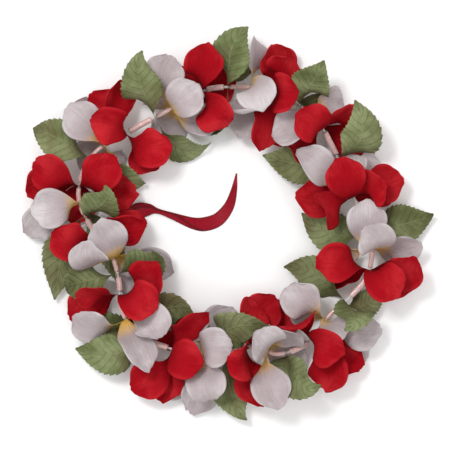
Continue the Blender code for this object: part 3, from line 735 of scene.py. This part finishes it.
def make_layer(name, number, color, rows_of, material):
    """Replace one CAD layer by the finer one: its hub and blades as one sheet of cloth.

    Returned with it are the number of corners of its hub and the number of rows of a blade."""
    kind = "leaf" if color == "leaf" else "petal"
    node = f"{color}_{'sheet' if color == 'leaf' else 'bloom'}_{number:02d}"
    (x, y), blades = GROUPS[number - 1][color]
    hub = hub_frame(x, y)
    slots = max(FEWEST_SLOTS, len(blades))
    turn, angles = slot_angles(hub, blades, slots)
    cloud = corner_cloud(node)
    draw = random.Random(SEEDS[color] + number)
    sheet = bmesh.new()
    sheet.verts.layers.float_vector.new("share")
    sheet.verts.layers.float.new("tone")
    rim = add_hub(sheet, hub, turn, slots)
    for slot, entry in zip(angles, blades):
        surface = chosen_surface(kind, hub, slot, entry, cloud)
        tone = draw.random()
        rows, rise, wander = rows_of(draw)
        if surface is None:
            continue
        first = round((slot[0] - turn) / (math.tau / slots)) % slots * ACROSS
        stretch = [rim[(first + c) % len(rim)] for c in range(ACROSS + 1)]
        add_blade(sheet, surface, stretch, rows, rise, wander, tone)
    bmesh.ops.recalc_face_normals(sheet, faces=sheet.faces[:])
    shares = sheet.verts.layers.float_vector["share"]
    uv = sheet.loops.layers.uv.new("blade")
    for face in sheet.faces:
        face.smooth = True
        for loop in face.loops:
            loop[uv].uv = loop.vert[shares].xy
    mesh = bpy.data.meshes.new(name)
    sheet.to_mesh(mesh)
    sheet.free()
    mesh.materials.append(material)
    piece = bpy.data.objects.new(name, mesh)
    bpy.context.scene.collection.objects.link(piece)
    thicken(piece, CLOTH, 0.0)
    finish_piece(piece, node)
    return piece, 3 * len(rim), len(rows) - 1


def petal_finish(name, plain, light, dark, throat, throat_end, **constants):
    """Stiffened weave: streaks along the petal, clouds of lighter dye, a tinted throat, and painted
    highlight and shade.
    """
    material, place, shader = new_material(name, **constants)
    uv = place.node("ShaderNodeUVMap", {}, uv_map="blade")
    tone = place.node("ShaderNodeAttribute", {}, output="Fac", attribute_name="tone")
    across = (uv.part("X") - 0.5).maths("ABSOLUTE") * 2
    lengthways = uv.part("Y")
    streaks = (uv.stretched(16.0, 1.1, 1.0)).noise(1.7, detail=4.0)
    clouds = place.noise(60.0, detail=3.0)
    creases = (uv.stretched(5.0, 2.2, 1.0)).noise(3.2, detail=5.0, roughness=0.65)
    # Clouds of lighter dye, laid on more towards the tip: partly the weave's own dye, partly painted
    # highlight.
    color = (clouds.step(0.38, 0.66) * lengthways.step(0.2, 0.9)).tint(plain, light)
    # Painted shade along streaks of the petal, and a darker random tone for each petal.
    color = (streaks.step(0.5, 0.78) * 0.45 + tone * 0.2).tint(color, dark)
    # Painted shade towards the hub.
    color = ((1 - lengthways.step(0.1, 0.7)) * 0.45).tint(color, dark)
    # Painted highlight along the side edges, away from the hub.
    color = (across.step(0.72, 1.0) * lengthways.step(0.3, 0.6) * 0.4).tint(color, light)
    # The throat: airbrushed yellow on white, and on red a painted shade round the hub.
    in_throat = 1 - (lengthways + (streaks - 0.5) * 0.16).step(0.03, throat_end)
    color = (in_throat * 0.9).tint(color, throat)
    weave = place.noise(WEAVE_SCALE, detail=2.0)
    height = creases * 0.9 + streaks * 0.5 + weave * 0.12
    connect(shader, bump_height=height, bump_distance=RELIEF, Base_Color=color,
            Roughness=0.62 + streaks * 0.22)
    return material


red_finish = petal_finish("red satin weave", RED, RED_LIT, RED_SHADED, RED_THROAT_SHADE, 0.22,
                          Specular_IOR_Level=0.08)
layers = []
for number in range(1, len(GROUPS) + 1):
    layers.append(make_layer(f"red_petals_{number:02d}", number, "red", petal_rows, red_finish))

# The white blooms
# The same die-cut shape in a white weave, its colours tinted pink as painted reflection of the red
# below it, with a yellow throat airbrushed round the hub, threaded on top of each red layer.
# The white in plain, lit and shaded copies for painted highlight and painted shade, all tinted pink as
# painted reflection of the red below.
WHITE = (0.44, 0.377, 0.386, 1.0)
WHITE_LIT = (0.60, 0.55, 0.558, 1.0)
WHITE_SHADED = (0.31, 0.225, 0.235, 1.0)
YELLOW_THROAT = (0.80, 0.46, 0.035, 1.0)
white_finish = petal_finish("white weave with yellow throat", WHITE, WHITE_LIT, WHITE_SHADED,
                            YELLOW_THROAT, 0.38, Specular_IOR_Level=0.2)
for number in range(1, len(GROUPS) + 1):
    layers.append(make_layer(f"white_petals_{number:02d}", number, "white", petal_rows,
                             white_finish))

# The leaf sheets
# Two or three serrated leaves cut in one piece from green weave, with a pressed pale midrib
# and pressed side veins darkened by painted shade, threaded next to each white layer.
LEAF_LENGTH = 45.0 * MM
LEAF_WIDTH = 25.0 * MM
LEAF_LEAN = 0.8
LEAF_ROUND = 1.15
LEAF_TIP = 0.5 * MM
LEAF_TEETH = 13
TOOTH_DEPTH = 1.0 * MM
TEETH_FROM, TEETH_SPAN = 0.12, 0.88
RIB, GROOVE, GROOVE_WIDTH, EDGE_WAVE, SLOW_BEND = 0.22, 0.25, 0.10, 0.5, 0.3
SIDE_VEINS = 9
VEIN_SLOPE = 0.20
LEAF_DARK = (0.095, 0.115, 0.038, 1.0)
LEAF_LIGHT = (0.255, 0.295, 0.140, 1.0)
LEAF_SPECKS = (0.085, 0.095, 0.036, 1.0)
LEAF_STAINS = (0.115, 0.072, 0.034, 1.0)
VEIN_SHADE = (0.070, 0.085, 0.030, 1.0)
MIDRIB_COLOR = (0.24, 0.26, 0.12, 1.0)
LEAF_ROOT = (0.085, 0.070, 0.028, 1.0)


def leaf_half_width(u):
    """Half the width of a leaf without its teeth: ovate, drawn out to a point."""
    u = min(max(u, 0.0), 1.0)
    ovate = math.sin(math.pi * u ** LEAF_LEAN) ** LEAF_ROUND
    return ROOT_HALF_WIDTH * (1 - u) ** 4 + LEAF_WIDTH / 2 * ovate + LEAF_TIP * u


def leaf_rows(draw):
    """Rows of a leaf at its notches and teeth, and a rise that presses in its side veins."""
    rows = [(0.0, 0.0, 0.0), (0.05, 0.05, 0.0), (0.10, 0.10, 0.0)]
    step = TEETH_SPAN / LEAF_TEETH
    for k in range(LEAF_TEETH):
        notch = TEETH_FROM + step * k
        fade = math.sin(math.pi * min(1.0, notch + 0.04))
        rows.append((notch, notch, -0.1 * TOOTH_DEPTH * fade))
        rows.append((notch + step * 0.45, notch + step * 0.45, 0.35 * TOOTH_DEPTH * fade))
        rows.append((notch + step * 0.8, notch + step * 1.0, TOOTH_DEPTH * fade))
    rows.append((1.0, 1.0, 0.0))
    turns = [draw.uniform(0, math.tau) for _ in range(3)]

    def rise(u, v):
        """Ridges between the side veins, a groove at the midrib and a slow wave along the edge."""
        free = min(1.0, max(0.0, (u - 0.1) / 0.2)) * min(1.0, (1.02 - u) / 0.2)
        side_vein = math.cos(math.tau * SIDE_VEINS * (u - VEIN_SLOPE * abs(v)))
        ribs = -RIB * side_vein * min(1.0, abs(v) * 5)
        groove = -GROOVE * math.exp(-(v / GROOVE_WIDTH) ** 2)
        wave = EDGE_WAVE * abs(v) ** 2 * math.sin(7.0 * u + turns[0] + (0 if v > 0 else turns[1]))
        bend = SLOW_BEND * math.sin(4.0 * u + turns[2])
        return (ribs * (1 - 0.5 * abs(v) ** 3) + groove + wave + bend) * free * MM

    return rows, rise, lambda u, v: 0.0


leaf_finish, place, shader = new_material("green leaf weave", Roughness=0.8, Specular_IOR_Level=0.2)
uv = place.node("ShaderNodeUVMap", {}, uv_map="blade")
tone = place.node("ShaderNodeAttribute", {}, output="Fac", attribute_name="tone")
across = (uv.part("X") - 0.5).maths("ABSOLUTE") * 2
lengthways = uv.part("Y")
clouds = place.noise(55.0, detail=4.0)
mottle = place.noise(420.0, detail=3.0)
stains = place.noise(34.0, detail=3.0)
weave = place.noise(WEAVE_SCALE, detail=2.0)
vein_count = (lengthways - across * VEIN_SLOPE) * SIDE_VEINS + clouds * 0.6 + mottle * 0.12
vein = 1 - ((vein_count + 0.5).maths("FRACT") - 0.5).maths("ABSOLUTE").step(0.02, 0.14)
vein = vein * across.step(0.0, 0.08)
midrib = 1 - across.step(0.015, 0.07)
color = clouds.step(0.3, 0.7).tint(LEAF_DARK, LEAF_LIGHT)
color = (mottle.step(0.45, 0.8) * 0.35).tint(color, LEAF_SPECKS)
color = (stains.step(0.52, 0.72) * 0.45 + tone * tone * 0.3).tint(color, LEAF_STAINS)
# Painted shade in the pressed side veins.
color = (vein * 0.22).tint(color, VEIN_SHADE)
color = (midrib * 0.35).tint(color, MIDRIB_COLOR)
color = ((1 - lengthways.step(0.05, 0.35)) * 0.6).tint(color, LEAF_ROOT)
connect(shader, bump_height=(1 - vein) * 0.35 + mottle * 0.25 + weave * 0.15 + midrib * 0.3,
        bump_distance=RELIEF, Base_Color=color)
for number in range(1, len(GROUPS) + 1):
    layers.append(make_layer(f"leaves_{number:02d}", number, "leaf", leaf_rows, leaf_finish))

# The edges that meet
# Where the edge of a blade would run through a neighbour's cloth it is drawn in towards its
# own middle line, as stiff fabric gives way. Of two that cross, it is the one that pokes less.
HALF_ACROSS = ACROSS // 2
CLEARANCE = 0.45 * MM
TAPER = 0.06
LEAST_WIDTH = 0.2
trees = [surface_tree(piece) for piece, _, _ in layers]
boxes = [[(min(values), max(values)) for values in zip(*(v.co for v in piece.data.vertices))]
         for piece, _, _ in layers]
# Each half row: its layer, its middle corner, its side, its blade's first corner and its row.
half_rows = [(mine, first + r * (ACROSS + 1) + HALF_ACROSS, side, first, r)
             for mine, (piece, head, rows) in enumerate(layers)
             for first in range(head, len(piece.data.vertices), rows * (ACROSS + 1))
             for r in range(rows) for side in (1, -1)]
# Each crossing: both layers, the half row, the share of its width that is free, and its width.
crossings = []
for mine, middle, side, first, r in half_rows:
    line = [layers[mine][0].data.vertices[middle + side * c].co for c in range(HALF_ACROSS + 1)]
    spans = [(min(values), max(values)) for values in zip(*line)]
    for other, tree in enumerate(trees):
        if other == mine or any(a[0] > b[1] or b[0] > a[1] for a, b in zip(spans, boxes[other])):
            continue
        for c, (start, end) in enumerate(zip(line, line[1:])):
            step = end - start
            met = tree.ray_cast(start, step.normalized(), step.length)[3]
            if met is not None:
                share = (c + met / step.length) / HALF_ACROSS
                crossings.append((mine, other, first, side, r, share, (line[-1] - line[0]).length))
                break
# How much of one layer's rows pokes through another layer in all, and the widths to keep.
poking = {}
for mine, other, _, _, _, share, length in crossings:
    poking[mine, other] = poking.get((mine, other), 0.0) + (1 - share) * length
kept = {}
for mine, other, first, side, r, share, length in crossings:
    if poking[mine, other] <= poking.get((other, mine), math.inf):
        share = max(LEAST_WIDTH, share - CLEARANCE / max(length, CLEARANCE))
        shares = kept.setdefault((mine, first, side), {})
        shares[r] = min(share, shares.get(r, 1.0))
for (mine, first, side), shares in kept.items():
    piece, _, rows = layers[mine]
    for r in range(rows):
        share = min(1.0, *(known + TAPER * max(0, abs(r - at) - 1) for at, known in shares.items()))
        middle = first + r * (ACROSS + 1) + HALF_ACROSS
        centre = piece.data.vertices[middle].co.copy()
        for c in range(1, HALF_ACROSS + 1):
            corner = piece.data.vertices[middle + side * c]
            corner.co = centre + (corner.co - centre) * share

# The ribbon tail
# A dark red satin ribbon that loops round the elastic, comes out from under the petals and
# lies in the hole of the wreath. It is folded over where it narrows and cut to a long point.
# Its route: place in the picture, height and width in mm, and tilt in degrees.
RIBBON_ROUTE = (
    (106, 246, 15.3, 4, 0), (113, 241, 14.0, 4, 0), (124, 229, 7.0, 7, 0), (136, 212.5, 2.0, 11, 8),
    (148, 209.5, 1.2, 8, 10), (157.5, 211, 1.0, 3.4, 8), (172.5, 216, 1.0, 4.4, 0),
    (192, 223, 0.3, 7.4, 0), (205, 224, 0.3, 9, 0), (218.5, 219, 0.3, 8.6, 0),
    (229, 206, 0.3, 6.6, 0), (234, 190, 0.3, 4, 0), (236.5, 173, 0.3, 0.8, 0),
)
FOLD_ROWS = ((39, 0.4), (55, 0.4), (63, 0.55), (71, -0.5), (79, -1.1))
FOLD_RISE = 0.35 * MM
RIBBON_BELOW = 0.6 * MM
RIBBON_CLOTH = 0.3 * MM
GAP = 0.32 * MM
RIBBON_ACROSS = 18
RIBBON_STEPS = 8
LOOP_STEPS = 18
LEG_PLACES = (6.0, 4.5, 3.0, 1.5)
FOLD_SHARPNESS = 3.5
SHADOW_AT_FOLD, SHADOW_BESIDE = 0.8, 0.3
SATIN_DARK = (0.30, 0.003, 0.014, 1.0)
SATIN_SHEEN = (0.44, 0.010, 0.026, 1.0)
RIBBON_EDGE_DARK = (0.13, 0.006, 0.010, 1.0)
FOLD_SHADOW = (0.05, 0.001, 0.004, 1.0)
SATIN_RELIEF = 0.0004
THREADS = 300
middle, tangent, outward, _ = hub_frame(*RIBBON_ROUTE[0][:2])
loop_radius = ELASTIC_RADIUS + RIBBON_BELOW / 2 + GAP
half = RIBBON_ROUTE[0][3] / 2 * MM
rows = [(middle - outward * forward * MM - Vector((0, 0, loop_radius)), -tangent * half)
        for forward in LEG_PLACES]
for k in range(LOOP_STEPS + 1):
    a = -math.pi / 2 - math.pi * k / LOOP_STEPS
    point = middle + (Vector((0, 0, math.sin(a))) - outward * math.cos(a)) * loop_radius
    rows.append((point, -tangent * half))
stations = [Vector((*plan(x, y, z * MM), width)) for x, y, z, width, _ in RIBBON_ROUTE[1:]]
tilts = [tilt for *_, tilt in RIBBON_ROUTE[1:]]
fine = smooth_route(stations, RIBBON_STEPS, closed=False)
for i, station in enumerate(fine):
    before, after = (Vector(fine[min(max(j, 0), len(fine) - 1)][:3]) for j in (i - 1, i + 1))
    direction = (after - before).normalized()
    share = i / RIBBON_STEPS
    low = min(int(share), len(tilts) - 1)
    tilt = tilts[low] + (tilts[min(low + 1, len(tilts) - 1)] - tilts[low]) * (share - low)
    sideways = Vector((0, 0, 1)).cross(direction).normalized()
    sideways = Matrix.Rotation(math.radians(tilt), 3, direction) @ sideways
    rows.append((Vector(station[:3]), sideways * station[3] * MM / 2))

ribbon_finish, place, shader = new_material("dark red satin", Roughness=0.38,
                                            Specular_IOR_Level=0.3)
uv = place.node("ShaderNodeUVMap", {}, uv_map="blade")
threads = (uv.part("X") * THREADS).sine() * 0.5 + 0.5
sheen_bands = (uv.stretched(5.0, 30.0, 1.0)).noise(2.0, detail=3.0)
edge_band = ((uv.part("X") - 0.5).maths("ABSOLUTE") * 2).step(0.78, 0.92)
fold_shadow = place.node("ShaderNodeAttribute", {}, output="Fac", attribute_name="fold")
# Lighter bands along the satin are painted sheen.
color = (sheen_bands.step(0.35, 0.7) * 0.6).tint(SATIN_DARK, SATIN_SHEEN)
# The colour darkens along both edges of the ribbon.
color = (edge_band * 0.75).tint(color, RIBBON_EDGE_DARK)
color = fold_shadow.tint(color, FOLD_SHADOW)
connect(shader, bump_height=threads * 0.2 + sheen_bands * 0.5, bump_distance=SATIN_RELIEF,
        Base_Color=color, Roughness=0.34 + sheen_bands * 0.2)

points, shares, shadows = [], [], []
ribbon_length = 0.0
for i, (middle, half_width) in enumerate(rows):
    if i:
        ribbon_length += (middle - rows[i - 1][0]).length
    fold_at = 2.0
    for (start, first), (end, last) in zip(FOLD_ROWS, FOLD_ROWS[1:]):
        if start <= i <= end:
            fold_at = first + (last - first) * (i - start) / (end - start)
    for c in range(RIBBON_ACROSS + 1):
        v = 2 * c / RIBBON_ACROSS - 1
        near_fold = max(0.0, 1 - abs(v - fold_at) * FOLD_SHARPNESS)
        point = middle + half_width * v + Vector((0, 0, FOLD_RISE * near_fold))
        point.z = max(point.z, RIBBON_CLOTH / 2)
        points.append(point)
        shares.append((0.5 + v / 2, ribbon_length))
        shadows.append(SHADOW_AT_FOLD * near_fold
                       + (SHADOW_BESIDE if v > fold_at > 0 else 0.0) * (1 - near_fold))
stride = RIBBON_ACROSS + 1
faces = [(r * stride + c, r * stride + c + 1, (r + 1) * stride + c + 1, (r + 1) * stride + c)
         for r in range(len(rows) - 1) for c in range(RIBBON_ACROSS)]
ribbon = new_mesh_object("ribbon_tail", points, faces, ribbon_finish)
ribbon.data.attributes.new("fold", "FLOAT", "POINT").data.foreach_set("value", shadows)
uv_layer = ribbon.data.uv_layers.new(name="blade")
for loop in ribbon.data.loops:
    across, lengthways = shares[loop.vertex_index]
    uv_layer.data[loop.index].uv = (across, lengthways / ribbon_length)
thicken(ribbon, RIBBON_CLOTH, 0.0)
finish_piece(ribbon, "ribbon")

# The table and the light
# A plain near-white table that the wreath lies on, a broad soft light above and a stronger
# one from the upper left, as in a product picture taken from straight above.
TABLE_SHADE = (0.93, 0.93, 0.93, 1.0)
TABLE_WHITE = (0.95, 0.95, 0.95, 1.0)
table_finish, place, shader = new_material("plain pale table", Roughness=0.9)
paper = place.noise(14.0, detail=2.0)
connect(shader, Base_Color=paper.tint(TABLE_SHADE, TABLE_WHITE))
TABLE_HALF = 3.0
TABLE_DROP = 0.2 * MM
corners = [(x * TABLE_HALF, y * TABLE_HALF, -TABLE_DROP)
           for x, y in ((-1, -1), (1, -1), (1, 1), (-1, 1))]
table = new_mesh_object("table", corners, [(0, 1, 2, 3)], table_finish)

world = bpy.data.worlds.new("studio")
world.use_nodes = True
room_light = world.node_tree.nodes["Background"].inputs
room_light["Color"].default_value = (1.0, 1.0, 1.0, 1.0)
room_light["Strength"].default_value = 0.95
bpy.context.scene.view_settings.view_transform = "Standard"
bpy.context.scene.world = world
AIM = Vector((0.0, 0.0, 0.01))
LAMPS = (("key", (-0.62, 0.66, 1.8), 0.45, 17.0), ("fill", (0.9, -0.5, 1.7), 1.5, 3.0))
for label, place, size, power in LAMPS:
    lamp = bpy.data.lights.new(label, "AREA")
    lamp.size = size
    lamp.energy = power
    light = bpy.data.objects.new(label, lamp)
    light.location = place
    light.rotation_euler = (AIM - Vector(place)).to_track_quat("-Z", "Y").to_euler()
    bpy.context.scene.collection.objects.link(light)

PICTURE_CENTRE = (225.0, 225.0)
PICTURE_WIDTH = 450 * PIXEL
CAMERA_HEIGHT = 2.0
SENSOR = 36.0
LENS = SENSOR * (CAMERA_HEIGHT - CORD_HEIGHT) / PICTURE_WIDTH
camera_data = bpy.data.cameras.new("camera")
camera_data.sensor_width = SENSOR
camera_data.lens = LENS
camera_data.clip_end = 20.0
camera = bpy.data.objects.new("camera", camera_data)
camera.location = plan(*PICTURE_CENTRE, CAMERA_HEIGHT)
bpy.context.scene.collection.objects.link(camera)
bpy.context.scene.camera = camera
